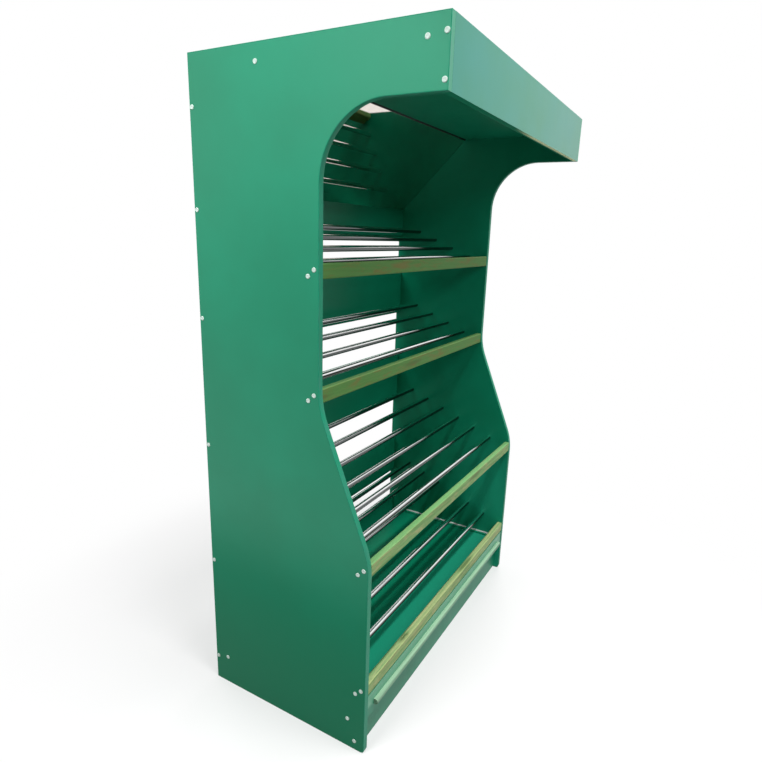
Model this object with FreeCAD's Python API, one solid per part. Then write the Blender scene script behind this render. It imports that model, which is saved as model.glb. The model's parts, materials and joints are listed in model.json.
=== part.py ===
import FreeCAD, Part
import math
import os

# Produce display stand: two shaped side panels carry four sloping shelves of chrome tubes,
# a front lip under each shelf, open back boards, a canopy with a tilted mirror, and a low drawer.
# Millimetres, +Z up, front towards -Y, origin on the floor under the middle of the outline.

Vector = FreeCAD.Vector

# Overall sizes
HEIGHT = 1950.0
WIDTH = 1200.0
BASE_DEPTH = 600.0
CANOPY_REACH = 160.0
UPPER_SETBACK = 170.0
BOARD = 18.0
EDGE_BAND = 2.0

# Outline of a side panel
CANOPY_HEIGHT = 150.0
CANOPY_RADIUS = 180.0
UPPER_HEIGHT = 900.0
SLANT_BOTTOM = 640.0
SLANT_RADIUS = 250.0
FOOT_RADIUS = 12.0

# Roof and mirror
ROOF_RECESS = 35.0
ROOF_DEPTH = 542.0
MIRROR_THICKNESS = 5.0
MIRROR_REACH = 282.0
MIRROR_ANGLE = 45.0
MIRROR_GROOVE = 6.0
MIRROR_SEAT = 6.0

# Shelves of tubes
SHELF_SLOPE = 22.0
TUBE_DIAMETER = 20.0
TUBE_WALL = 1.5
TUBE_BACK_GAP = 84.0
UPPER_TUBE_COUNT = 4
UPPER_TUBE_GAP = 88.0
LOWER_TUBE_COUNT = 6
LOWER_TUBE_GAP = 98.0
SOCKET_DEPTH = 10.0
LIP_HEIGHT = 40.0
LIP_TOP = 20.0
LIP_BASE = 45.0
LIP_CHAMFER = 2.5
LIP_INSET = 1.0
SHELF_1_DROP = 540.0
SHELF_2_DROP = 870.0
SHELF_3_HEIGHT = 609.0
SHELF_1_LIFT = -19.0
SHELF_2_LIFT = -15.0
SHELF_3_LIFT = -16.0
SHELF_4_LIFT = 3.0

# Back boards and the open gaps between them, one gap behind each shelf
UPPER_GAP_DROP = 42.0
LOWER_GAP_DROP = 54.0
GAP_1_HEIGHT = 135.0
GAP_2_HEIGHT = 180.0
GAP_3_HEIGHT = 190.0
GAP_4_HEIGHT = 140.0
TOP_RAIL_HEIGHT = 96.0
TOP_RAIL_DROP = 84.0
BOTTOM_BOARD_LIFT = 16.0

# Base
DECK_HEIGHT = 91.0
PLINTH_SETBACK = 25.0
PLINTH_LIFT = 2.0

# Drawer, its runners and its grip
DRAWER_SPACE = 85.0
DRAWER_SETBACK = 2.0
DRAWER_TOP_GAP = 6.0
DRAWER_FLOOR_GAP = 6.0
DRAWER_END_GAP = 2.0
DRAWER_LENGTH = 494.0
DRAWER_WALL = 12.0
DRAWER_BOTTOM = 6.0
DRAWER_RIM = 5.0
DRAWER_GROOVE = 6.0
DRAWER_SIDE_GAP = 11.0
RUNNER_HEIGHT = 45.0
RUNNER_WIDTH = 13.0
RUNNER_STEEL = 1.5
RUNNER_LENGTH = 500.0
RUNNER_FLANGE = 10.0
RUNNER_START_GAP = 3.0
SLIDE_LENGTH = 490.0
GRIP_DEPTH = 14.0
GRIP_HEIGHT = 18.0
GRIP_END_GAP = 37.0
GRIP_RISE = 32.0

# Clearances
SOCKET_CLEARANCE = 0.1
END_PLAY = 0.5
GROOVE_CLEARANCE = 0.3
RUNNING_GAP = 0.3
SAME_POINT = 1e-6

# Places that follow from the sizes above
Y_BACK = (BASE_DEPTH + CANOPY_REACH) / 2
Y_BASE = Y_BACK - BASE_DEPTH
Y_UPPER = Y_BASE + UPPER_SETBACK
Y_CANOPY = Y_BASE - CANOPY_REACH
Y_BACK_FACE = Y_BACK - BOARD
X_OUTER = WIDTH / 2
X_INNER = X_OUTER - BOARD
CANOPY_Z = HEIGHT - CANOPY_HEIGHT
SLANT_TOP = HEIGHT - UPPER_HEIGHT
ROOF_FRONT = Y_CANOPY + BOARD
ROOF_TOP = HEIGHT - ROOF_RECESS
ROOF_UNDER = ROOF_TOP - BOARD
DECK_TOP = DECK_HEIGHT + BOARD
DECK_FRONT = Y_BASE + PLINTH_SETBACK
SLOPE = math.radians(SHELF_SLOPE)
TUBE_REAR_Y = Y_BACK_FACE - TUBE_BACK_GAP
DRAWER_FRONT_Y = Y_BASE + DRAWER_SETBACK
DRAWER_BOX_Y = DRAWER_FRONT_Y + BOARD
DRAWER_END_Y = DRAWER_BOX_Y + DRAWER_LENGTH
DRAWER_SIDE_LOW = DECK_TOP + DRAWER_SIDE_GAP
DRAWER_SIDE_TOP = DRAWER_SIDE_LOW + RUNNER_HEIGHT
DRAWER_OUTER_X = X_INNER - RUNNER_WIDTH
DRAWER_INNER_X = DRAWER_OUTER_X - DRAWER_WALL

LEFT = -1
RIGHT = 1


class Shelf:
    """One sloping row of tubes with its lip and the open gap behind it."""

    def __init__(self, number, lip_z, lift, tube_count, tube_gap, gap_drop, gap_height):
        self.number = number
        self.lip_y = front_edge(lip_z) + LIP_INSET
        self.lip_low = lip_z - LIP_HEIGHT / 2
        self.tube_count = tube_count
        self.tube_front_y = self.lip_y + tube_gap
        self.rear_z = lip_z + lift + (TUBE_REAR_Y - self.lip_y) * math.tan(SLOPE)
        self.gap_top = self.rear_z - gap_drop
        self.gap_low = self.gap_top - gap_height

    def tubes(self):
        """Centres (y, z) of the tubes, evenly spaced from the rear one forwards."""
        step = (TUBE_REAR_Y - self.tube_front_y) / (self.tube_count - 1)
        fall = step * math.tan(SLOPE)
        return [(TUBE_REAR_Y - k * step, self.rear_z - k * fall) for k in range(self.tube_count)]


def front_edge(z):
    """Y of the side panel's front edge at height z, its round corners taken as sharp."""
    share = (z - SLANT_BOTTOM) / (SLANT_TOP - SLANT_BOTTOM)
    return Y_BASE + UPPER_SETBACK * min(1.0, max(0.0, share))


def all_shelves():
    shelf_4_height = DECK_TOP + DRAWER_SPACE + LIP_HEIGHT / 2
    upper = (UPPER_TUBE_COUNT, UPPER_TUBE_GAP, UPPER_GAP_DROP)
    lower = (LOWER_TUBE_COUNT, LOWER_TUBE_GAP, LOWER_GAP_DROP)
    return [
        Shelf(1, HEIGHT - SHELF_1_DROP, SHELF_1_LIFT, *upper, GAP_1_HEIGHT),
        Shelf(2, HEIGHT - SHELF_2_DROP, SHELF_2_LIFT, *upper, GAP_2_HEIGHT),
        Shelf(3, SHELF_3_HEIGHT, SHELF_3_LIFT, *lower, GAP_3_HEIGHT),
        Shelf(4, shelf_4_height, SHELF_4_LIFT, *lower, GAP_4_HEIGHT),
    ]


def box(x0, x1, y0, y1, z0, z1):
    return Part.makeBox(x1 - x0, y1 - y0, z1 - z0, Vector(x0, y0, z0))


def rod(radius, x0, x1, y, z):
    """A round bar along X."""
    return Part.makeCylinder(radius, x1 - x0, Vector(x0, y, z), Vector(1, 0, 0))


def rounded_wire(corners, x):
    """A closed wire in the plane at x through corners (y, z, radius), each rounded by a tangent arc."""
    stops = []
    count = len(corners)
    for k, (y, z, radius) in enumerate(corners):
        corner = Vector(x, y, z)
        before = Vector(x, *corners[k - 1][:2]) - corner
        after = Vector(x, *corners[(k + 1) % count][:2]) - corner
        if radius <= 0:
            stops.append((corner, None, corner))
            continue
        before.normalize()
        after.normalize()
        half = before.getAngle(after) / 2
        reach = radius / math.tan(half)
        middle = before + after
        middle.normalize()
        tip = corner + middle * (radius / math.sin(half) - radius)
        stops.append((corner + before * reach, tip, corner + after * reach))
    edges = []
    for k, (start, tip, end) in enumerate(stops):
        if tip is not None:
            edges.append(Part.Arc(start, tip, end).toShape())
        following = stops[(k + 1) % count][0]
        if (following - end).Length > SAME_POINT:
            edges.append(Part.LineSegment(end, following).toShape())
    return Part.Wire(edges)


def eased(points, cut):
    """The outline through points with each corner cut back by the same length on both sides."""
    outline = []
    count = len(points)
    for k, point in enumerate(points):
        for other in (points[k - 1], points[(k + 1) % count]):
            share = cut / math.dist(point, other)
            outline.append(tuple(p + share * (o - p) for p, o in zip(point, other)))
    return outline


def prism(corners, x0, x1):
    face = Part.Face(rounded_wire(corners, x0))
    return face.extrude(Vector(x1 - x0, 0, 0))


def side_corners(inset):
    """Corners of the side outline, drawn in by inset at every edge but the floor."""
    turn = math.atan2(UPPER_SETBACK, SLANT_TOP - SLANT_BOTTOM)
    shift = inset * math.tan(turn / 2)
    foot_y = Y_BASE + FOOT_RADIUS
    start = [(Y_BACK - inset, 0.0, 0.0), (foot_y, 0.0, 0.0)]
    if inset > 0:
        start.append((foot_y, inset, 0.0))
    return start + [
        (Y_BASE + inset, inset, FOOT_RADIUS - inset),
        (Y_BASE + inset, SLANT_BOTTOM - shift, SLANT_RADIUS - inset),
        (Y_UPPER + inset, SLANT_TOP - shift, SLANT_RADIUS + inset),
        (Y_UPPER + inset, CANOPY_Z + inset, CANOPY_RADIUS + inset),
        (Y_CANOPY + inset, CANOPY_Z + inset, 0.0),
        (Y_CANOPY + inset, HEIGHT - inset, 0.0),
        (Y_BACK - inset, HEIGHT - inset, 0.0),
    ]


def panel_span(side):
    """Low and high X of a side panel."""
    return (X_INNER, X_OUTER) if side == RIGHT else (-X_OUTER, -X_INNER)


def mirror_corners(clearance):
    """Section of the mirror: cut level under the roof and upright on the back board."""
    fall = math.tan(math.radians(MIRROR_ANGLE))
    rise = MIRROR_THICKNESS / math.cos(math.radians(MIRROR_ANGLE))
    slack = clearance / math.cos(math.radians(MIRROR_ANGLE))
    y_end = Y_BACK_FACE + clearance
    z_top = ROOF_UNDER + clearance
    z_low = ROOF_UNDER - MIRROR_REACH * fall - slack - clearance * fall
    z_high = z_low + rise + 2 * slack
    y_low = y_end - (z_top - z_low) / fall
    y_high = y_end - (z_top - z_high) / fall
    return [(y_low, z_top, 0.0), (y_high, z_top, 0.0), (y_end, z_high, 0.0), (y_end, z_low, 0.0)]


def mirror_seat_top():
    """Height up to which the back board under the mirror reaches."""
    return mirror_corners(0.0)[2][1] + MIRROR_SEAT


def side_panel(side, shelves):
    """Shaped board with blind sockets for the tubes and a groove for the mirror's end."""
    x0, x1 = panel_span(side)
    panel = prism(side_corners(EDGE_BAND), x0, x1)
    cuts = []
    socket = TUBE_DIAMETER / 2 + SOCKET_CLEARANCE
    for shelf in shelves:
        for y, z in shelf.tubes():
            mouth = X_INNER if side == RIGHT else -X_INNER - SOCKET_DEPTH
            cuts.append(rod(socket, mouth, mouth + SOCKET_DEPTH, y, z))
    groove_x = X_INNER if side == RIGHT else -X_INNER - MIRROR_GROOVE
    cuts.append(prism(mirror_corners(GROOVE_CLEARANCE), groove_x, groove_x + MIRROR_GROOVE))
    return panel.cut(cuts)


def edge_band(side):
    """Thin strip glued round the panel's edges, open at the floor."""
    x0, x1 = panel_span(side)
    return prism(side_corners(0.0), x0, x1).cut(prism(side_corners(EDGE_BAND), x0, x1))


def fascia():
    return box(-X_INNER, X_INNER, Y_CANOPY, ROOF_FRONT, CANOPY_Z, HEIGHT)


def roof_board():
    return box(-X_INNER, X_INNER, ROOF_FRONT, ROOF_FRONT + ROOF_DEPTH, ROOF_UNDER, ROOF_TOP)


def mirror():
    reach = X_INNER + MIRROR_GROOVE - END_PLAY
    return prism(mirror_corners(0.0), -reach, reach)


def back_board_spans(shelves):
    """Low and high Z of each back board, from the top down."""
    rail_top = HEIGHT - TOP_RAIL_DROP
    spans = [(rail_top - TOP_RAIL_HEIGHT, rail_top)]
    upper = mirror_seat_top()
    for shelf in shelves:
        spans.append((shelf.gap_top, upper))
        upper = shelf.gap_low
    spans.append((BOTTOM_BOARD_LIFT, upper))
    return spans


def back_board(span):
    return box(-X_INNER, X_INNER, Y_BACK_FACE, Y_BACK, *span)


def lip(shelf):
    """Planed batten with eased edges and a long bevel at the back."""
    low = shelf.lip_low
    high = low + LIP_HEIGHT
    front = shelf.lip_y
    section = [(front, low), (front, high), (front + LIP_TOP, high), (front + LIP_BASE, low)]
    corners = [(y, z, 0.0) for y, z in eased(section, LIP_CHAMFER)]
    return prism(corners, -X_INNER, X_INNER)


def tube(y, z):
    reach = X_INNER + SOCKET_DEPTH - END_PLAY
    outer = rod(TUBE_DIAMETER / 2, -reach, reach, y, z)
    return outer.cut(rod(TUBE_DIAMETER / 2 - TUBE_WALL, -reach, reach, y, z))


def base_deck():
    return box(-X_INNER, X_INNER, DECK_FRONT, Y_BACK_FACE, DECK_HEIGHT, DECK_TOP)


def plinth():
    return box(-X_INNER, X_INNER, DECK_FRONT, DECK_FRONT + BOARD, PLINTH_LIFT, DECK_HEIGHT)


def channel(side, web_x, flange_x, y0, y1, z0, z1):
    """Steel channel whose web stands at web_x and whose flanges reach to flange_x."""
    toward = math.copysign(RUNNER_STEEL, flange_x - web_x)
    low_x, high_x = sorted((side * web_x, side * flange_x))
    web_low, web_high = sorted((side * web_x, side * (web_x + toward)))
    web = box(web_low, web_high, y0, y1, z0, z1)
    lower = box(low_x, high_x, y0, y1, z0, z0 + RUNNER_STEEL)
    upper = box(low_x, high_x, y0, y1, z1 - RUNNER_STEEL, z1)
    return web.fuse([lower, upper]).removeSplitter()


def runner(side):
    """Fixed channel on the panel, open towards the drawer."""
    start = DRAWER_BOX_Y + RUNNER_START_GAP
    return channel(side, X_INNER, X_INNER - RUNNER_FLANGE, start, start + RUNNER_LENGTH,
                   DRAWER_SIDE_LOW, DRAWER_SIDE_TOP)


def drawer_slide(side):
    """Moving channel on the drawer's side, nested inside the fixed one."""
    step = RUNNER_STEEL + RUNNING_GAP
    return channel(side, DRAWER_OUTER_X, DRAWER_OUTER_X + RUNNER_FLANGE, DRAWER_BOX_Y,
                   DRAWER_BOX_Y + SLIDE_LENGTH, DRAWER_SIDE_LOW + step, DRAWER_SIDE_TOP - step)


def drawer_front(lowest_shelf):
    reach = X_INNER - DRAWER_END_GAP
    top = lowest_shelf.lip_low - DRAWER_TOP_GAP
    return box(-reach, reach, DRAWER_FRONT_Y, DRAWER_BOX_Y, DECK_TOP + DRAWER_FLOOR_GAP, top)


def drawer_bottom():
    """Thin board high up in the drawer, held in grooves of its sides and back."""
    reach = DRAWER_INNER_X + DRAWER_GROOVE
    end = DRAWER_END_Y - DRAWER_WALL + DRAWER_GROOVE
    top = DRAWER_SIDE_TOP - DRAWER_RIM
    return box(-reach, reach, DRAWER_BOX_Y, end, top - DRAWER_BOTTOM, top)


def drawer_side(side):
    """Side board with a groove for the bottom and a low rim above it."""
    x0, x1 = sorted((side * DRAWER_INNER_X, side * DRAWER_OUTER_X))
    board = box(x0, x1, DRAWER_BOX_Y, DRAWER_END_Y, DRAWER_SIDE_LOW, DRAWER_SIDE_TOP)
    return board.cut(drawer_bottom())


def drawer_back():
    """Back board between the sides, with the same groove and rim."""
    start = DRAWER_END_Y - DRAWER_WALL
    board = box(-DRAWER_INNER_X, DRAWER_INNER_X, start, DRAWER_END_Y, DRAWER_SIDE_LOW, DRAWER_SIDE_TOP)
    return board.cut(drawer_bottom())


def drawer_grip():
    """Long bar with a full round nose on the drawer's front."""
    nose = GRIP_HEIGHT / 2
    z = DECK_TOP + DRAWER_FLOOR_GAP + GRIP_RISE
    tip_y = DRAWER_FRONT_Y - GRIP_DEPTH
    reach = X_INNER - GRIP_END_GAP
    corners = [
        (DRAWER_FRONT_Y, z - nose, 0.0),
        (DRAWER_FRONT_Y, z + nose, 0.0),
        (tip_y, z + nose, nose),
        (tip_y, z - nose, nose),
    ]
    return prism(corners, -reach, reach)


def all_parts():
    shelves = all_shelves()
    parts = {
        "fascia": fascia(),
        "roof_board": roof_board(),
        "mirror": mirror(),
        "base_deck": base_deck(),
        "plinth": plinth(),
        "drawer_front": drawer_front(shelves[-1]),
        "drawer_back": drawer_back(),
        "drawer_bottom": drawer_bottom(),
        "drawer_grip": drawer_grip(),
    }
    for name, side in (("left", LEFT), ("right", RIGHT)):
        parts["side_panel_" + name] = side_panel(side, shelves)
        parts["edge_band_" + name] = edge_band(side)
        parts["runner_" + name] = runner(side)
        parts["drawer_slide_" + name] = drawer_slide(side)
        parts["drawer_side_" + name] = drawer_side(side)
    for k, span in enumerate(back_board_spans(shelves)):
        parts["back_board_%d" % (k + 1)] = back_board(span)
    for shelf in shelves:
        parts["lip_%d" % shelf.number] = lip(shelf)
        for k, (y, z) in enumerate(shelf.tubes()):
            parts["tube_%d_%d" % (shelf.number, k + 1)] = tube(y, z)
    return parts


def main():
    os.makedirs("parts", exist_ok=True)
    for name, shape in all_parts().items():
        shape.exportStep("parts/%s.step" % name)


main()
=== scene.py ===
"""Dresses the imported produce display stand: finishes, battens, screw caps, stage and camera."""

import json
import math

import bmesh
import bpy
from bpy.props import FloatProperty, FloatVectorProperty, IntProperty, PointerProperty
from bpy.types import Operator, Panel, PropertyGroup
from mathutils import Euler, Matrix, Vector


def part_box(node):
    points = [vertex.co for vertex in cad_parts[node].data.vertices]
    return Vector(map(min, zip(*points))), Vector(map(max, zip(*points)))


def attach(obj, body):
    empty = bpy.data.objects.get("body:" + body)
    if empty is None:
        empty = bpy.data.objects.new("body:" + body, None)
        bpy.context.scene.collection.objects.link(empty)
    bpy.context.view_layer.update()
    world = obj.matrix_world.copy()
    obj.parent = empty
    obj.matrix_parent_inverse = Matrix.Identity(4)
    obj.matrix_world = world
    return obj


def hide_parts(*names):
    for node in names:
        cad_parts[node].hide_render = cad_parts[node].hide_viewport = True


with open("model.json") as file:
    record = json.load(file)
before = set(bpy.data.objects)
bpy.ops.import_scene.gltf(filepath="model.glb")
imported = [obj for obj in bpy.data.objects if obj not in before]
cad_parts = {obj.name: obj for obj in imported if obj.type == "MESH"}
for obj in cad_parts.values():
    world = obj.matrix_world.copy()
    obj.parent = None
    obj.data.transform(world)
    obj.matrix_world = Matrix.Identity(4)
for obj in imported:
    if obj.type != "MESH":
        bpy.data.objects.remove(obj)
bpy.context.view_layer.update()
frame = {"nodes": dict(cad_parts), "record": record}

bl_info = {
    "name": "Produce Display Stand",
    "version": (1, 0, 0),
    "blender": (4, 5, 0),
    "location": "View3D > Sidebar > Stand",
    "description": "Finishes, battens, screw caps and stage of a shop stand for produce",
    "category": "Object",
}

MM = 0.001
MERGE_GAP = 0.01 * MM
FLAT_ANGLE = math.radians(1.0)
BAND_CORNER = math.radians(60.0)
BATTEN_CORNER = math.radians(20.0)

SIDES = (("left", -1), ("right", 1))
LIPS = ("lip_1", "lip_2", "lip_3", "lip_4")
BACK_BOARDS = tuple("back_board_%d" % k for k in range(1, 7))
PANELS = ("side_panel_left", "side_panel_right")
STAND_BOARDS = ("roof_board", "base_deck", "plinth")
DRAWER_BOARDS = ("drawer_back", "drawer_side_left", "drawer_side_right")
STEEL_PARTS = ("runner_left", "runner_right", "drawer_slide_left", "drawer_slide_right")
TUBES = tuple(sorted(n for n in frame["nodes"] if n.startswith("tube_")))

# half of a cap's section, from the middle of its base, in shares of its radius and its height
CAP_OUTLINE = ((0.0, -0.05), (1.0, -0.05), (1.0, 0.36), (0.94, 0.68), (0.82, 0.92), (0.66, 1.0),
               (0.54, 0.94), (0.44, 0.74), (0.30, 0.66), (0.0, 0.64))

# how many times the lowest batten's knot is squeezed along each axis
KNOT_SHAPE = (1.0, 3.2, 1.6)

# each lamp's name, place, aim, size, power in watts and whether a gloss shows it
LAMPS = (
    ("ceiling_lamp", (-0.2, -1.7, 4.6), (0.0, -0.1, 0.7), (2.8, 0.3), 145.0, True),
    ("left_lamp", (-2.6, 0.6, 2.6), (-0.4, 0.0, 1.3), (1.4, 1.2), 72.0, False),
    ("front_lamp", (-0.5, -2.9, 3.05), (0.0, 0.1, 0.7), (2.2, 1.2), 64.0, False),
    ("right_lamp", (2.7, 0.2, 2.6), (0.4, 0.0, 1.2), (1.4, 1.2), 45.0, False),
    ("rear_lamp", (0.4, 3.0, 3.2), (0.0, 0.3, 1.0), (2.0, 1.2), 30.0, False),
)


def screen(red, green, blue):
    """A colour as a screen shows it, 0 to 255, as the linear colour that a shader takes."""
    def linear(value):
        share = value / 255
        return share / 12.92 if share <= 0.04045 else ((share + 0.055) / 1.055) ** 2.4
    return (linear(red), linear(green), linear(blue))


def colour(name, description, default):
    return FloatVectorProperty(name=name, description=description, default=default,
                               subtype="COLOR", size=3, min=0.0, max=1.0)


def length(name, description, default):
    return FloatProperty(name=name, description=description, default=default, min=0.0,
                         subtype="DISTANCE", unit="LENGTH", precision=4)


def amount(name, description, default):
    return FloatProperty(name=name, description=description, default=default, min=0.0, max=1.0,
                         subtype="FACTOR")


def span(name, description, start, full):
    """Two places along an axis: where a change of finish starts and where it is full."""
    return FloatVectorProperty(name=name, description=description, default=(start, full), size=2,
                               unit="LENGTH", precision=4)


class BoardSettings(PropertyGroup):
    green: colour("Board green", "Paint of the boards", screen(8, 128, 95))
    deep_green: colour("Deep green", "Paint where it lies thin or worn", screen(6, 116, 84))
    band_green: colour("Edge band", "Strip round the panels' edges", screen(42, 124, 100))
    # Painted shade and light: the next green darkens the panels' outer faces towards the floor, the one
    # after it lightens their inner faces low down and to the front.
    foot_shade_green: colour("Foot green", "Paint of the panels near the floor", screen(8, 106, 74))
    lit_inside_green: colour("Crate green", "Paint inside the panels, rubbed by crates", screen(30, 152, 120))
    # Painted light: the fascia's bluer green stands in for the cooler light that falls on the front.
    fascia_green: colour("Fascia green", "Paint of the fascia, a cooler batch", screen(8, 122, 111))
    # Painted highlight: the pale strip along the fascia's lower arris, towards its right end.
    edge_highlight: colour("Bare edge", "Worn arris under the fascia", screen(226, 234, 186))
    dust: colour("Dust", "Dust on the boards near the floor", (0.45, 0.45, 0.40))
    gloss: amount("Gloss", "Shine of the boards' paint", 0.26)
    panel_gloss: amount("Panel gloss", "Shine of the panels and fascia under their lacquer", 0.1)
    lacquer: amount("Lacquer", "Lacquer left at the top of the panels", 0.95)
    low_lacquer: amount("Low lacquer", "Share of it left between waist and shoulder", 0.6)
    fascia_lacquer: amount("Fascia lacquer", "Lacquer on the canopy's front", 0.80)
    # The next two amounts, and the three spans after the dust height, place that painted shade outside and
    # painted light inside.
    foot_shade_depth: amount("Foot depth", "How far the paint turns to the foot's", 0.95)
    lit_inside_share: amount("Crate wear", "How far crates have rubbed the panels inside", 0.8)
    dust_height: length("Dust height", "How high the dust reaches", 70.0 * MM)
    foot_shade_heights: span("Foot", "Heights over which the foot's paint comes in", 0.75, 0.10)
    lit_inside_heights: span("Crates", "Heights over which crates rub more", 0.75, 0.40)
    lit_inside_depths: span("Crates inwards", "Depths over which crates rub more", 0.08, -0.12)
    waist: span("Waist", "Heights over which the lower lacquer comes in", 0.40, 0.75)
    shoulder: span("Shoulder", "Heights over which the upper lacquer comes in", 1.25, 1.80)
    # Width, softness and ends of that painted highlight under the fascia.
    wear_and_highlight_arris: length("Worn arris", "Width of the worn arris under the fascia", 13.0 * MM)
    arris_blur: length("Arris blur", "Softness of the worn arris", 2.0 * MM)
    arris_ends: span("Arris ends", "Places along the fascia over which its arris gets bare", -0.15, 0.05)
    band_lacquer: span("Band lacquer", "Depths behind the canopy's front over which it comes in",
                       25.0 * MM, 10.0 * MM)
    band_ease: length("Band easing", "Rounding of the edge band's arris", 0.6 * MM)


class BattenSettings(PropertyGroup):
    light_stain: colour("Light stain", "Stain on the pale growth of the timber", screen(118, 158, 98))
    dark_stain: colour("Dark stain", "Stain on the dense growth of the timber", screen(90, 126, 70))
    # Partly painted light: the upper faces' lighter green is a fresher stain and light from above.
    newer_and_lit_stain: colour("Top stain", "Fresher stain on the upper faces", screen(110, 166, 106))
    # Partly painted shade: the upper battens' deeper stain is an older stain and the canopy's shade.
    older_and_shaded_stain: colour("Deep stain", "Stain on the upper battens, which is older", screen(56, 104, 40))
    weathered: colour("Weathered", "Brown patches on the older battens", screen(106, 90, 44))
    bare_wood: colour("Bare wood", "Wood in patches on the lower battens", screen(164, 156, 112))
    worn_stain: colour("Worn stain", "Timber where hands and crates rub the lowest batten",
                       screen(182, 190, 134))
    # Partly painted highlight: the pale front arrises are wear and light catching the rounded edge.
    rubbing_and_light_edge: colour("Rubbed edge", "Timber on the battens' rubbed front edges", screen(178, 194, 130))
    knot: colour("Knot", "Colour of the knots", screen(66, 72, 34))
    knot_place: FloatVectorProperty(name="Knot place", description="Middle of the lowest batten's knot",
                                    default=(-0.345, -0.208, 0.234), size=3, subtype="TRANSLATION",
                                    unit="LENGTH")
    # Heights over which the upper battens take that partly painted shade.
    aged_and_shaded_heights: span("Older battens", "Heights over which the battens get older", 0.75, 0.95)
    low_heights: span("Lowest batten", "Heights over which the battens get more worn", 0.45, 0.30)
    ease: length("Easing", "Rounding of the battens' edges", 1.2 * MM)


class TubeSettings(PropertyGroup):
    # Painted highlight and shade: the bright plate colours the tubes' upper faces and the dark one their
    # undersides; on higher tubes more of the face is bright.
    chrome: colour("Chrome", "Plate on the tubes", (0.95, 0.96, 0.96))
    shaded_chrome: colour("Dull chrome", "Plate on the tubes' undersides", (0.15, 0.16, 0.16))
    bright_heights: span("Brighter tubes", "Heights over which more of a tube is bright", 0.75, 1.20)


class MirrorSettings(PropertyGroup):
    silver: colour("Silver", "Tint of the silvered glass", (0.83, 0.76, 0.70))
    dust: colour("Dust", "Dust on the glass", (0.74, 0.69, 0.64))
    # Painted shadow: the dark rim along the mirror's top, where the roof board meets it.
    painted_rim_shadow: colour("Rim shade", "Dark rim at the mirror's top", (0.004, 0.012, 0.008))
    backing: colour("Back", "Paint on the mirror's back", (0.16, 0.19, 0.18))
    brushed: colour("Brush marks", "Brush marks in that paint", (0.30, 0.33, 0.31))
    rim: length("Rim", "Height of the dark rim", 5.0 * MM)
    rim_blur: length("Rim blur", "Softness of the dark rim", 0.5 * MM)


class DrawerSettings(PropertyGroup):
    green: colour("Front green", "Paint of the drawer's front, a paler batch", screen(50, 137, 109))
    # Painted light: the paler front above the bar, lit from above, while the bar shades the part below.
    rubbing_and_light: colour("Rubbed front", "Paint above the bar, rubbed pale by hands", screen(98, 162, 130))
    # Painted light and shade: the drawer's floor takes this paler green at the front and the deep green at
    # the rear, under the shelves; the depths two lines down set where it changes.
    tray: colour("Tray", "Faded paint of the drawer's floor", screen(32, 146, 116))
    tray_gloss: amount("Tray gloss", "Shine left on the drawer's floor", 0.05)
    lit_front_depths: span("Faded tray", "Depths over which the drawer's floor gets more faded", 0.0, -0.16)
    light_stain: colour("Light stain", "Stain on the pale growth of the bar", screen(126, 163, 137))
    dark_stain: colour("Dark stain", "Stain on the dense growth of the bar", screen(98, 131, 106))
    # Painted highlight: the lighter stain on the bar's upper face.
    newer_and_lit_stain: colour("Top stain", "Fresher stain on the bar's upper face", screen(164, 203, 170))
    coat: colour("Runner coat", "Coat on the drawer's runners", (0.56, 0.58, 0.56))
    scuffed_coat: colour("Scuffed coat", "That coat where the slides scuff it", (0.38, 0.40, 0.39))


class CapSettings(PropertyGroup):
    white: colour("Cap", "Moulded screw caps", screen(186, 204, 196))
    aged: colour("Aged cap", "Patches that have aged", (0.44, 0.52, 0.46))
    diameter: length("Diameter", "Width of a screw cap", 13.0 * MM)
    height: length("Height", "How far a cap stands off the panel", 2.2 * MM)
    segments: IntProperty(name="Segments", description="Steps round a cap", default=28, min=8)
    board_edge: length("Board screws", "From a level board's end to its screw", 35.0 * MM)
    fascia_top: length("Fascia top", "From the fascia's top to its upper screw", 38.0 * MM)
    fascia_low: length("Fascia low", "From the fascia's lower edge to its lower screw", 21.0 * MM)
    lip_front: length("Lip front screw", "From a lip's face back to its upper screw", 14.0 * MM)
    lip_upper: length("Lip upper screw", "From a lip's underside up to its upper screw", 24.0 * MM)
    lip_rear: length("Lip rear screw", "From a lip's face back to its lower screw", 33.0 * MM)
    lip_lower: length("Lip lower screw", "From a lip's underside up to its lower screw", 7.0 * MM)
    low_board: length("Low board screw", "From the lowest back board's edge to its screw", 72.0 * MM)
    plinth: length("Plinth screw", "From the plinth's edge to its screw", 28.0 * MM)


class StageSettings(PropertyGroup):
    floor: colour("Floor", "Floor round the stand", (0.42, 0.42, 0.42))
    floor_size: length("Floor size", "Length of the floor's side", 40.0)
    fade_start: length("Fade start", "Where the floor starts to turn white", 0.75)
    fade_end: length("Fade end", "Where the floor is white", 1.75)
    ambient: amount("Ambient", "Light from all round", 0.11)
    lift: amount("Lift", "How much the floor near the stand is brightened", 0.45)
    eye: FloatVectorProperty(name="Eye", description="Where the camera stands", size=3,
                             default=(-1.7846, -0.9345, 1.5087), subtype="TRANSLATION", unit="LENGTH")
    turn: FloatVectorProperty(name="Turn", description="How the camera is turned", size=3,
                              default=tuple(math.radians(a) for a in (75.260, -1.998, -60.281)),
                              subtype="EULER", unit="ROTATION")
    lens: FloatProperty(name="Lens", description="Focal length on a 36 mm sensor, in mm",
                        default=27.151, min=1.0)
    shift_right: FloatProperty(name="Shift right", description="Share of the frame", default=-0.0147)
    shift_up: FloatProperty(name="Shift up", description="Share of the frame", default=0.0053)


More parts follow.
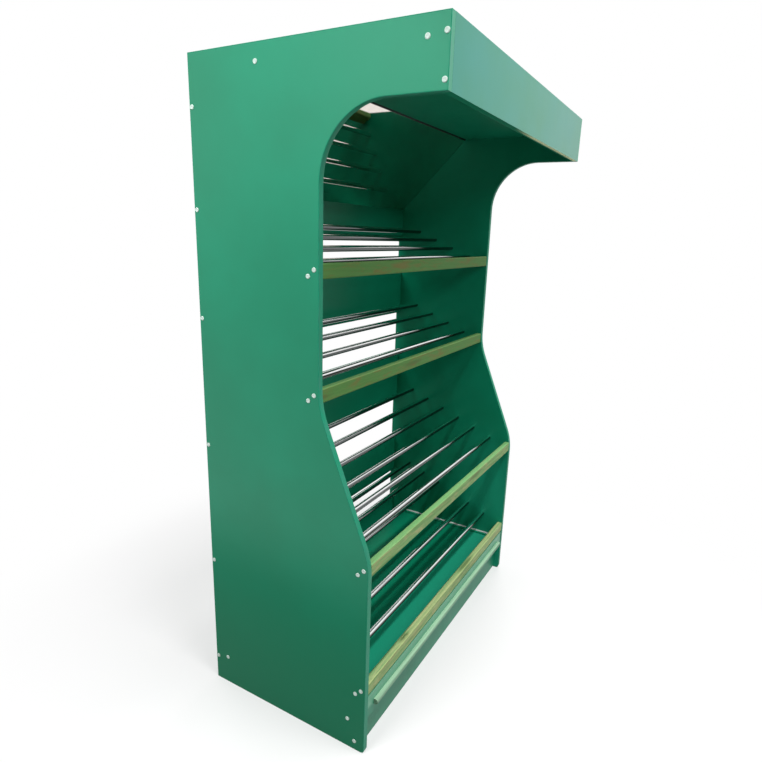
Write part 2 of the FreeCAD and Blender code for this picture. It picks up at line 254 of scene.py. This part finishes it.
class StandSettings(PropertyGroup):
    board: PointerProperty(type=BoardSettings)
    batten: PointerProperty(type=BattenSettings)
    tube: PointerProperty(type=TubeSettings)
    mirror: PointerProperty(type=MirrorSettings)
    drawer: PointerProperty(type=DrawerSettings)
    cap: PointerProperty(type=CapSettings)
    stage: PointerProperty(type=StageSettings)


class Field:
    """A shader socket that Python's operators can combine."""

    def __init__(self, finish, socket):
        self.finish = finish
        self.socket = socket

    def maths(self, operation, *values):
        return self.finish.node("ShaderNodeMath", {"operation": operation}, dict(enumerate(values)))

    def __add__(self, other):
        return self.maths("ADD", self, other)

    def __radd__(self, other):
        return self.maths("ADD", other, self)

    def __sub__(self, other):
        return self.maths("SUBTRACT", self, other)

    def __rsub__(self, other):
        return self.maths("SUBTRACT", other, self)

    def __mul__(self, other):
        return self.maths("MULTIPLY", self, other)

    def __rmul__(self, other):
        return self.maths("MULTIPLY", other, self)


class Finish:
    """One material, its nodes and the few steps that most finishes share."""

    def __init__(self, name, owner=None):
        self.owner = owner or bpy.data.materials.new(name)
        self.owner.use_nodes = True
        self.tree = self.owner.node_tree
        self.tree.nodes.clear()

    def node(self, kind, settings=None, values=None, output=0):
        """Adds a node, its settings first, then the values or links of its sockets."""
        node = self.tree.nodes.new(kind)
        for key, value in (settings or {}).items():
            setattr(node, key, value)
        for key, value in (values or {}).items():
            if isinstance(value, Field):
                self.tree.links.new(value.socket, node.inputs[key])
            else:
                node.inputs[key].default_value = value
        return Field(self, node.outputs[output])

    def place(self, scale=(1.0, 1.0, 1.0)):
        """Object coordinates, stretched by scale."""
        here = self.node("ShaderNodeTexCoord", output="Object")
        return self.node("ShaderNodeVectorMath", {"operation": "MULTIPLY"}, {0: here, 1: scale})

    def noise(self, place, scale=1.0, detail=2.0, roughness=0.5, distortion=0.0):
        return self.node("ShaderNodeTexNoise", None,
                         {"Vector": place, "Scale": scale, "Detail": detail,
                          "Roughness": roughness, "Distortion": distortion}, "Fac")

    def along(self, axis):
        """How far a point lies along an axis of the stand."""
        return self.node("ShaderNodeSeparateXYZ", None, {"Vector": self.place()}, axis)

    def facing(self, axis):
        """How far the surface faces along an axis of the stand."""
        return self.node("ShaderNodeSeparateXYZ", None,
                         {"Vector": self.node("ShaderNodeNewGeometry", output="Normal")}, axis)

    def steps(self, value, start, full):
        """Value spread from 0 at start to 1 at full, with soft ends."""
        return self.node("ShaderNodeMapRange", {"interpolation_type": "SMOOTHSTEP"},
                         {"Value": value, "From Min": start, "From Max": full})

    def blend(self, share, first, second):
        """From the first colour to the second."""
        ends = [c if isinstance(c, Field) else tuple(c) + (1.0,) for c in (first, second)]
        return self.node("ShaderNodeMix", {"data_type": "RGBA"},
                         {0: share, 6: ends[0], 7: ends[1]}, 2)

    def bump(self, height, depth):
        return self.node("ShaderNodeBump", None, {"Height": height, "Distance": depth, "Strength": 1.0})

    def lacquer(self, weight):
        """A clear satin coat."""
        return {"Coat Weight": weight, "Coat Roughness": 0.35}

    def front(self):
        """1 on the faces that look to the front, 0 elsewhere."""
        return self.steps(self.facing("Y"), -0.2, -0.5)

    def output(self, shader, kind="ShaderNodeOutputMaterial"):
        node = self.tree.nodes.new(kind)
        self.tree.links.new(shader.socket, node.inputs["Surface"])
        return self.owner

    def surface(self, values):
        return self.output(self.node("ShaderNodeBsdfPrincipled", None, values))


class Timber(Finish):
    """Stain on planed softwood: long figure along the stand's width, rings and pores."""

    def __init__(self, name, own):
        super().__init__(name)
        self.figure = self.noise(self.place((2.4, 46.0, 46.0)), detail=6.0, roughness=0.62, distortion=0.9)
        self.rings = self.node("ShaderNodeTexWave", {"wave_type": "BANDS", "bands_direction": "DIAGONAL"},
                               {"Vector": self.place((1.1, 30.0, 30.0)), "Scale": 1.5, "Distortion": 5.0,
                                "Detail": 3.0, "Detail Scale": 1.4}, "Fac")
        self.pores = self.noise(self.place((60.0, 1500.0, 1500.0)))
        self.blotch = self.noise(self.place((4.0, 14.0, 14.0)), detail=3.0, roughness=0.6)
        self.dense = self.steps(0.62 * self.figure + 0.14 * self.rings + 0.34 * self.blotch, 0.36, 0.78)
        self.upward = self.steps(self.facing("Z"), 0.4, 0.9)
        # Share of the lighter upper faces: painted light, on the battens also a fresher stain.
        self.newer_and_lit_top = self.upward * (0.9 - 0.4 * self.dense)
        self.stain = self.blend(self.dense, own.light_stain, own.dark_stain)

    def cover(self, share, tone):
        """Lays a tone over the stain so far."""
        self.stain = self.blend(share, self.stain, tone)

    def planed(self):
        """The finished surface."""
        return self.surface({"Base Color": self.stain, "Roughness": 0.52 + 0.14 * self.figure,
                             "Specular IOR Level": 0.25,
                             "Normal": self.bump(0.6 * self.rings + 0.4 * self.pores, 0.12 * MM)})


def settings():
    return bpy.context.scene.stand


def dress(names, material):
    """Gives CAD nodes their finish."""
    for name in names:
        for slot in frame["nodes"][name].material_slots:
            slot.material = material


def body_of(node):
    return next(b for b, nodes in frame["record"]["behaviour"]["bodies"].items() if node in nodes)


def mesh_data(name, mesh, material):
    """Turns a bmesh into mesh data of one material."""
    data = bpy.data.meshes.new(name)
    mesh.to_mesh(data)
    mesh.free()
    data.materials.append(material)
    return data


def add_object(name, data):
    made = bpy.data.objects.new(name, data)
    bpy.context.scene.collection.objects.link(made)
    return made


def piece(name, mesh, material, body):
    """Turns a bmesh into a piece of the object that rides on a body."""
    made = add_object(name, mesh_data(name, mesh, material))
    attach(made, body)
    return made


def eased_copy(node, width, corner):
    """A merged copy of a CAD node's mesh, with each edge that turns by more than corner rounded."""
    mesh = bmesh.new()
    mesh.from_mesh(frame["nodes"][node].data)
    bmesh.ops.remove_doubles(mesh, verts=mesh.verts, dist=MERGE_GAP)
    bmesh.ops.dissolve_limit(mesh, angle_limit=FLAT_ANGLE, verts=mesh.verts, edges=mesh.edges)
    edges = [e for e in mesh.edges if len(e.link_faces) == 2 and e.calc_face_angle() > corner]
    bmesh.ops.bevel(mesh, geom=edges, offset=width, offset_type="OFFSET", affect="EDGES",
                    segments=2, profile=0.5, material=-1, clamp_overlap=True)
    return mesh


def board_paint(name, green, gloss):
    """Satin green paint: a fine rolled texture, slow changes of depth, dust towards the floor."""
    own = settings().board
    finish = Finish(name)
    here = finish.place()
    cloud = finish.noise(here, scale=2.2, detail=4.0, roughness=0.6)
    rolled = finish.noise(here, scale=700.0, roughness=0.6)
    smear = finish.noise(finish.place((9.0, 9.0, 3.0)), detail=5.0, roughness=0.65, distortion=0.6)
    dust = finish.steps(finish.along("Z"), own.dust_height, 0.0) * finish.steps(smear, 0.42, 0.7)
    paint = finish.blend(finish.steps(cloud, 0.25, 0.75), own.deep_green, green)
    paint = finish.blend(0.10 * rolled, paint, own.band_green)
    paint = finish.blend(0.16 * dust, paint, own.dust)
    return finish, {"Base Color": paint, "Roughness": 0.30 + 0.12 * smear + 0.05 * rolled + 0.2 * dust,
                    "Specular IOR Level": gloss, "Normal": finish.bump(rolled, 0.05 * MM)}


def board_finish():
    """Plain board paint."""
    own = settings().board
    finish, values = board_paint("board_paint", own.green, own.gloss)
    return finish.surface(values)


def panel_finish():
    """Board paint, darker outside near the floor as painted shade and lighter inside low down and to the
    front as painted light, under a lacquer outside that wear takes off towards the floor.
    """
    own = settings().board
    finish, values = board_paint("panel_paint", own.green, own.panel_gloss)
    height = finish.along("Z")
    outside = finish.steps(finish.along("X") * finish.facing("X"), 0.2, 0.5)
    # Painted shade: the outer faces darken towards the floor.
    foot = own.foot_shade_depth * outside * finish.steps(height, *own.foot_shade_heights)
    # Painted light: the inner faces lighten low down and towards the front.
    crate_rub_and_light = own.lit_inside_share * (1.0 - outside) * finish.steps(height, *own.lit_inside_heights)
    crate_rub_and_light = crate_rub_and_light * finish.steps(finish.along("Y"), *own.lit_inside_depths)
    paint = finish.blend(foot, values["Base Color"], own.foot_shade_green)
    values["Base Color"] = finish.blend(crate_rub_and_light, paint, own.lit_inside_green)
    lower = own.low_lacquer * finish.steps(height, *own.waist)
    upper = (1.0 - own.low_lacquer) * finish.steps(height, *own.shoulder)
    values.update(finish.lacquer(own.lacquer * outside * (lower + upper)))
    return finish.surface(values)


def fascia_finish():
    """Board paint under a lacquer on the front, with a matt underside in painted shade and a painted
    highlight along its arris towards the right end.
    """
    own = settings().board
    finish, values = board_paint("fascia_paint", own.fascia_green, own.panel_gloss)
    # Painted shade: the underside takes the deeper green.
    below = finish.steps(finish.facing("Z"), -0.5, -0.9)
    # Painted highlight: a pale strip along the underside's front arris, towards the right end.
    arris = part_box("fascia")[0].y + own.wear_and_highlight_arris
    wear_and_highlight = finish.steps(finish.along("Y"), arris, arris - own.arris_blur)
    wear_and_highlight = wear_and_highlight * finish.steps(finish.along("X"), *own.arris_ends)
    edge = finish.blend(wear_and_highlight, own.deep_green, own.edge_highlight)
    values["Base Color"] = finish.blend(below, values["Base Color"], edge)
    values["Roughness"] = values["Roughness"] + 0.4 * below
    values.update(finish.lacquer(own.fascia_lacquer * finish.front()))
    return finish.surface(values)


def drawer_finish():
    """Board paint, paler above the bar as painted light, with the front below it in the bar's shade."""
    own = settings().drawer
    finish, values = board_paint("drawer_paint", own.green, settings().board.gloss)
    low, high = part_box("drawer_grip")
    # Painted light above the bar.
    above = finish.steps(finish.along("Z"), low.z, high.z)
    values["Base Color"] = finish.blend(above, values["Base Color"], own.rubbing_and_light)
    return finish.surface(values)


def tray_finish():
    """Matt board paint, paler at the front as painted light and the deep green at the rear as painted shade
    under the shelves.
    """
    own = settings().drawer
    finish, values = board_paint("tray_paint", settings().board.deep_green, own.tray_gloss)
    # Painted light towards the front, painted shade of the deep green at the rear.
    lit_front = finish.steps(finish.along("Y"), *own.lit_front_depths)
    values["Base Color"] = finish.blend(lit_front, values["Base Color"], own.tray)
    return finish.surface(values)


def band_finish():
    """Thin plastic strip, a little greyer than the boards, scuffed, with lacquer on the canopy's front."""
    own = settings().board
    finish = Finish("band_strip")
    scuff = finish.noise(finish.place((60.0, 60.0, 18.0)), detail=4.0, roughness=0.6)
    grain = finish.noise(finish.place(), scale=900.0, detail=1.0)
    values = {"Base Color": finish.blend(finish.steps(scuff, 0.3, 0.75), own.green, own.band_green),
              "Roughness": 0.42 + 0.16 * scuff, "Specular IOR Level": own.gloss,
              "Normal": finish.bump(grain, 0.03 * MM)}
    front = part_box("fascia")[0].y
    near = finish.steps(finish.along("Y"), *(front + depth for depth in own.band_lacquer))
    values.update(finish.lacquer(own.fascia_lacquer * near * finish.front()))
    return finish.surface(values)


def grip_finish():
    """Stain on the drawer's bar, with a painted highlight on its upper face."""
    own = settings().drawer
    wood = Timber("grip_stain", own)
    # Painted highlight on the bar's upper face.
    wood.cover(wood.newer_and_lit_top, own.newer_and_lit_stain)
    return wood.planed()


def batten_finish():
    """Stain on the battens: lighter on top, partly painted light; older, browner and darker on the upper
    ones, partly painted shade; wear on the lower ones, and knots.
    """
    own = settings().batten
    wood = Timber("batten_stain", own)
    height = wood.along("Z")
    # Partly painted shade: the upper battens, older and in the canopy's shade.
    aged_and_shaded = wood.steps(height, *own.aged_and_shaded_heights)
    weather(wood, own, aged_and_shaded)
    # Painted light on the upper faces, less of it on the upper battens, which lie in the canopy's shade.
    wood.cover(wood.newer_and_lit_top * (1.0 - 0.55 * aged_and_shaded), own.newer_and_lit_stain)
    rub(wood, own, wood.steps(height, *own.low_heights))
    add_knots(wood, own)
    return wood.planed()


def weather(wood, own, aged_and_shaded):
    """Deepens the older battens' stain, partly as painted shade, and breaks it with brown patches, or bare
    ones on the others.
    """
    patches = wood.noise(wood.place((9.0, 55.0, 55.0)), detail=5.0, roughness=0.7, distortion=0.5)
    # Partly painted shade: the deeper stain on the upper battens.
    wood.cover(aged_and_shaded * (0.95 - 0.3 * wood.dense), own.older_and_shaded_stain)
    wood.cover(0.7 * aged_and_shaded * wood.steps(patches, 0.47, 0.66), own.weathered)
    wood.cover(0.6 * (1.0 - aged_and_shaded) * wood.steps(patches, 0.46, 0.64), own.bare_wood)


def rub(wood, own, low):
    """Wears the lowest batten's faces, and pales all front edges, partly as wear and partly as painted
    highlight.
    """
    wear_and_highlight = wood.steps(wood.figure + 0.5 * wood.blotch, 0.95, 0.55)
    wood.cover(low * (0.5 + 0.5 * wood.upward) * wear_and_highlight, own.worn_stain)
    # Partly painted highlight along the front arrises, partly wear.
    edge = wood.steps(wood.facing("Y") * wood.facing("Z"), -0.2, -0.42)
    wood.cover(edge * (0.15 + 0.6 * low) * wood.steps(wood.blotch, 0.3, 0.6), own.rubbing_and_light_edge)


def add_knots(wood, own):
    """Darkens the pores, scattered small knots and the one large knot of the lowest batten."""
    spots = wood.node("ShaderNodeTexVoronoi", {"feature": "SMOOTH_F1"},
                      {"Vector": wood.place((2.1, 19.0, 19.0)), "Scale": 1.0, "Smoothness": 0.3},
                      "Distance")
    wood.cover(0.3 * wood.steps(wood.pores, 0.52, 0.7), own.knot)
    wood.cover(0.55 * wood.steps(spots, 0.20, 0.07), own.knot)
    middle = Vector(own.knot_place) * Vector(KNOT_SHAPE)
    away = wood.node("ShaderNodeVectorMath", {"operation": "DISTANCE"},
                     {0: wood.place(KNOT_SHAPE), 1: middle}, "Value")
    knot = wood.steps(away + 0.03 * wood.figure, 0.055, 0.025)
    wood.cover(0.8 * (knot * wood.steps(wood.pores + wood.figure, 0.75, 1.15)), own.knot)


def chrome_finish():
    """Bright plate on the upper faces and dark below, as painted highlight and shade, brighter further down
    on the higher tubes, with marks and fine polish lines along the tube.
    """
    own = settings().tube
    finish = Finish("tube_chrome")
    marks = finish.noise(finish.place((7.0, 30.0, 30.0)), detail=4.0, roughness=0.65)
    marks = finish.steps(marks, 0.4, 0.8)
    lines = finish.noise(finish.place((8.0, 2400.0, 2400.0)), detail=1.0)
    # Painted highlight on the upper faces and painted shade below.
    upward = finish.facing("Z") + 0.32 * finish.steps(finish.along("Z"), *own.bright_heights)
    rubbing_and_light = finish.steps(upward, 0.52, 0.80)
    tone = finish.blend(rubbing_and_light * (1.0 - 0.25 * marks), own.shaded_chrome, own.chrome)
    return finish.surface({"Base Color": tone, "Metallic": 1.0,
                           "Roughness": 0.08 + 0.06 * marks + 0.03 * lines})


def mirror_finish():
    """Silvered glass with dust and a dark rim at its top, a painted shadow, and brushed paint on its back.
    """
    own = settings().mirror
    finish = Finish("mirror_silver")
    dust = finish.noise(finish.place((6.0, 6.0, 6.0)), detail=6.0, roughness=0.7)
    brushed = finish.noise(finish.place((4.0, 160.0, 160.0)), detail=3.0)
    painted = finish.steps(finish.facing("Z"), 0.0, 0.2)
    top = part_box("mirror")[1].z - own.rim
    # Painted shadow: a dark rim along the glass's top edge.
    rim = (1.0 - painted) * finish.steps(finish.along("Z"), top, top + own.rim_blur)
    tone = finish.blend(finish.steps(dust, 0.45, 0.8), own.silver, own.dust)
    tone = finish.blend(rim, tone, own.painted_rim_shadow)
    paint = finish.blend(0.35 * brushed, own.backing, own.brushed)
    rough = 0.01 + 0.03 * dust + 0.4 * rim + painted * (0.40 + 0.2 * brushed)
    return finish.surface({"Base Color": finish.blend(painted, tone, paint), "Roughness": rough,
                           "Metallic": 1.0 - painted - rim, "Specular IOR Level": 0.1})


def runner_finish():
    """Pale grey coat on pressed steel, scuffed where the slides run."""
    own = settings().drawer
    finish = Finish("runner_coat")
    speck = finish.noise(finish.place(), scale=420.0)
    scuff = finish.noise(finish.place((40.0, 3.0, 160.0)), detail=4.0, roughness=0.65)
    tone = finish.blend(finish.steps(scuff, 0.5, 0.8), own.coat, own.scuffed_coat)
    return finish.surface({"Base Color": tone, "Roughness": 0.30 + 0.14 * scuff,
                           "Normal": finish.bump(speck, 0.03 * MM)})


def cap_finish():
    """White moulded plastic with a fine satin grain."""
    own = settings().cap
    finish = Finish("cap_plastic")
    grain = finish.noise(finish.place(), scale=1600.0, detail=1.0)
    age = finish.noise(finish.place(), scale=40.0, detail=3.0)
    tone = finish.blend(finish.steps(age, 0.45, 0.8), own.white, own.aged)
    return finish.surface({"Base Color": tone, "Roughness": 0.32 + 0.1 * grain,
                           "Normal": finish.bump(grain, 0.02 * MM)})


def cap_places(own):
    """Where the screws sit in a panel's outer face, as (y, z)."""
    def middle(node):
        low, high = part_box(node)
        return (low + high) / 2
    places = []
    low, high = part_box("fascia")
    places.append((middle("fascia").y, high.z - own.fascia_top))
    places.append((middle("fascia").y, low.z + own.fascia_low))
    for node in ("roof_board", "base_deck"):
        low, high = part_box(node)
        places.append((low.y + own.board_edge, middle(node).z))
        places.append((high.y - own.board_edge, middle(node).z))
    for node in BACK_BOARDS[:-1]:
        places.append((middle(node).y, middle(node).z))
    places.append((middle(BACK_BOARDS[-1]).y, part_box(BACK_BOARDS[-1])[0].z + own.low_board))
    places.append((middle("plinth").y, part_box("plinth")[0].z + own.plinth))
    for node in LIPS:
        low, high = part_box(node)
        places.append((low.y + own.lip_front, low.z + own.lip_upper))
        places.append((low.y + own.lip_rear, low.z + own.lip_lower))
    return places


def add_cap(mesh, seat, side, own):
    """Spins one domed cap with a soft rim round the screw's axis, its base just inside the panel."""
    radius = own.diameter / 2
    points = [mesh.verts.new(seat + Vector((side * up * own.height, radius * out, 0.0)))
              for out, up in CAP_OUTLINE]
    edges = [mesh.edges.new(pair) for pair in zip(points, points[1:])]
    bmesh.ops.spin(mesh, geom=points + edges, cent=seat, axis=(1.0, 0.0, 0.0),
                   angle=2 * math.pi, steps=own.segments, use_merge=True)


class STAND_OT_boards(Operator):
    """Paint the boards and put the eased edge bands round the panels"""
    bl_idname = "stand.boards"
    bl_label = "Boards"

    def execute(self, context):
        own = settings().board
        dress(PANELS, panel_finish())
        dress(STAND_BOARDS + BACK_BOARDS, board_finish())
        dress(("fascia",), fascia_finish())
        band = band_finish()
        for side, _ in SIDES:
            node = "edge_band_" + side
            mesh = eased_copy(node, own.band_ease, BAND_CORNER)
            made = piece("eased_band_" + side, mesh, band, body_of(node))
            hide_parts(node)
        return {"FINISHED"}


class STAND_OT_battens(Operator):
    """Put a rounded, stained batten in place of each lip"""
    bl_idname = "stand.battens"
    bl_label = "Battens"

    def execute(self, context):
        own = settings().batten
        stain = batten_finish()
        for node in LIPS:
            mesh = eased_copy(node, own.ease, BATTEN_CORNER)
            made = piece("batten_" + node, mesh, stain, body_of(node))
            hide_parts(node)
        return {"FINISHED"}


class STAND_OT_tubes(Operator):
    """Plate the tubes and silver the mirror"""
    bl_idname = "stand.tubes"
    bl_label = "Tubes and mirror"

    def execute(self, context):
        dress(TUBES, chrome_finish())
        dress(("mirror",), mirror_finish())
        return {"FINISHED"}


class STAND_OT_drawer(Operator):
    """Finish the drawer, its runners and its grip, after the boards"""
    bl_idname = "stand.drawer"
    bl_label = "Drawer"

    def execute(self, context):
        dress(DRAWER_BOARDS, bpy.data.materials["board_paint"])
        dress(("drawer_bottom",), tray_finish())
        dress(("drawer_front",), drawer_finish())
        dress(STEEL_PARTS, runner_finish())
        dress(("drawer_grip",), grip_finish())
        return {"FINISHED"}


class STAND_OT_caps(Operator):
    """Press a moulded cap over every screw in the panels"""
    bl_idname = "stand.caps"
    bl_label = "Screw caps"

    def execute(self, context):
        own = settings().cap
        white = cap_finish()
        for name, side in SIDES:
            low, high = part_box("side_panel_" + name)
            face = high.x if side > 0 else low.x
            mesh = bmesh.new()
            for y, z in cap_places(own):
                add_cap(mesh, Vector((face, y, z)), side, own)
            bmesh.ops.remove_doubles(mesh, verts=mesh.verts, dist=MERGE_GAP)
            bmesh.ops.recalc_face_normals(mesh, faces=mesh.faces)
            made = piece("screw_caps_" + name, mesh, white, "stand")
            made.data.shade_smooth()
        return {"FINISHED"}


class STAND_OT_stage(Operator):
    """Lay the floor and set the light and the camera"""
    bl_idname = "stand.stage"
    bl_label = "Stage"

    def execute(self, context):
        own = settings().stage
        self.lay_floor(own)
        self.light_world(context, own)
        for lamp in LAMPS:
            self.hang_lamp(*lamp)
        self.set_camera(context, own)
        context.scene.view_settings.view_transform = "Standard"
        return {"FINISHED"}

    def lay_floor(self, own):
        mesh = bmesh.new()
        bmesh.ops.create_grid(mesh, x_segments=1, y_segments=1, size=own.floor_size / 2)
        floor = add_object("floor", mesh_data("floor", mesh, self.floor_finish(own)))

    def floor_finish(self, own):
        """Grey that takes the stand's shadow near it and turns white further off."""
        finish = Finish("floor")
        here = finish.node("ShaderNodeTexCoord", output="Object")
        away = finish.node("ShaderNodeVectorMath", {"operation": "LENGTH"}, {0: here}, "Value")
        seen = self.seen(finish)
        grey = finish.node("ShaderNodeBsdfPrincipled", None,
                           {"Base Color": tuple(own.floor) + (1.0,), "Roughness": 0.7})
        lift = finish.node("ShaderNodeEmission", None, {"Strength": own.lift * seen})
        near = finish.node("ShaderNodeAddShader", None, {0: grey, 1: lift})
        far = finish.node("ShaderNodeEmission", None, {"Strength": 1.0})
        share = seen * finish.steps(away, own.fade_start, own.fade_end)
        return finish.output(finish.node("ShaderNodeMixShader", None, {0: share, 1: near, 2: far}))

    def seen(self, finish):
        """1 for what the camera, a gloss or a glass sees, 0 for the light that falls on the stand."""
        camera, gloss, glass = (finish.node("ShaderNodeLightPath", output=ray)
                                for ray in ("Is Camera Ray", "Is Glossy Ray", "Is Transmission Ray"))
        return finish.node("ShaderNodeMath", {"operation": "ADD", "use_clamp": True},
                           {0: camera + gloss, 1: glass})

    def light_world(self, context, own):
        world = bpy.data.worlds.new("studio")
        context.scene.world = world
        finish = Finish("studio", world)
        seen = self.seen(finish)
        soft = finish.node("ShaderNodeBackground", None, {"Strength": own.ambient})
        white = finish.node("ShaderNodeBackground", None, {"Color": (1.0, 1.0, 1.0, 1.0), "Strength": 1.0})
        finish.output(finish.node("ShaderNodeMixShader", None, {0: seen, 1: soft, 2: white}),
                      "ShaderNodeOutputWorld")

    def hang_lamp(self, name, place, aim, size, power, mirrored):
        lamp = bpy.data.lights.new(name, "AREA")
        lamp.shape = "RECTANGLE"
        lamp.size, lamp.size_y = size
        lamp.energy = power
        made = add_object(name, lamp)
        made.visible_camera = False
        made.visible_glossy = mirrored
        toward = Vector(aim) - Vector(place)
        made.matrix_world = Matrix.Translation(place) @ toward.to_track_quat("-Z", "Y").to_matrix().to_4x4()

    def set_camera(self, context, own):
        camera = bpy.data.cameras.new("camera")
        camera.lens = own.lens
        camera.shift_x = own.shift_right
        camera.shift_y = own.shift_up
        made = add_object("camera", camera)
        made.matrix_world = Matrix.Translation(own.eye) @ Euler(own.turn).to_matrix().to_4x4()
        context.scene.camera = made


class STAND_PT_sidebar(Panel):
    bl_label = "Produce stand"
    bl_idname = "STAND_PT_sidebar"
    bl_space_type = "VIEW_3D"
    bl_region_type = "UI"
    bl_category = "Stand"

    def draw(self, context):
        for operator in OPERATORS:
            self.layout.operator(operator.bl_idname)


OPERATORS = (STAND_OT_boards, STAND_OT_battens, STAND_OT_tubes, STAND_OT_drawer, STAND_OT_caps,
             STAND_OT_stage)
CLASSES = (BoardSettings, BattenSettings, TubeSettings, MirrorSettings, DrawerSettings, CapSettings,
           StageSettings, StandSettings) + OPERATORS + (STAND_PT_sidebar,)


def register():
    for each in CLASSES:
        bpy.utils.register_class(each)
    bpy.types.Scene.stand = PointerProperty(type=StandSettings)


def unregister():
    del bpy.types.Scene.stand
    for each in reversed(CLASSES):
        bpy.utils.unregister_class(each)


def main():
    register()
    bpy.ops.stand.boards()
    bpy.ops.stand.battens()
    bpy.ops.stand.tubes()
    bpy.ops.stand.drawer()
    bpy.ops.stand.caps()
    bpy.ops.stand.stage()


if __name__ == "__main__":
    main()
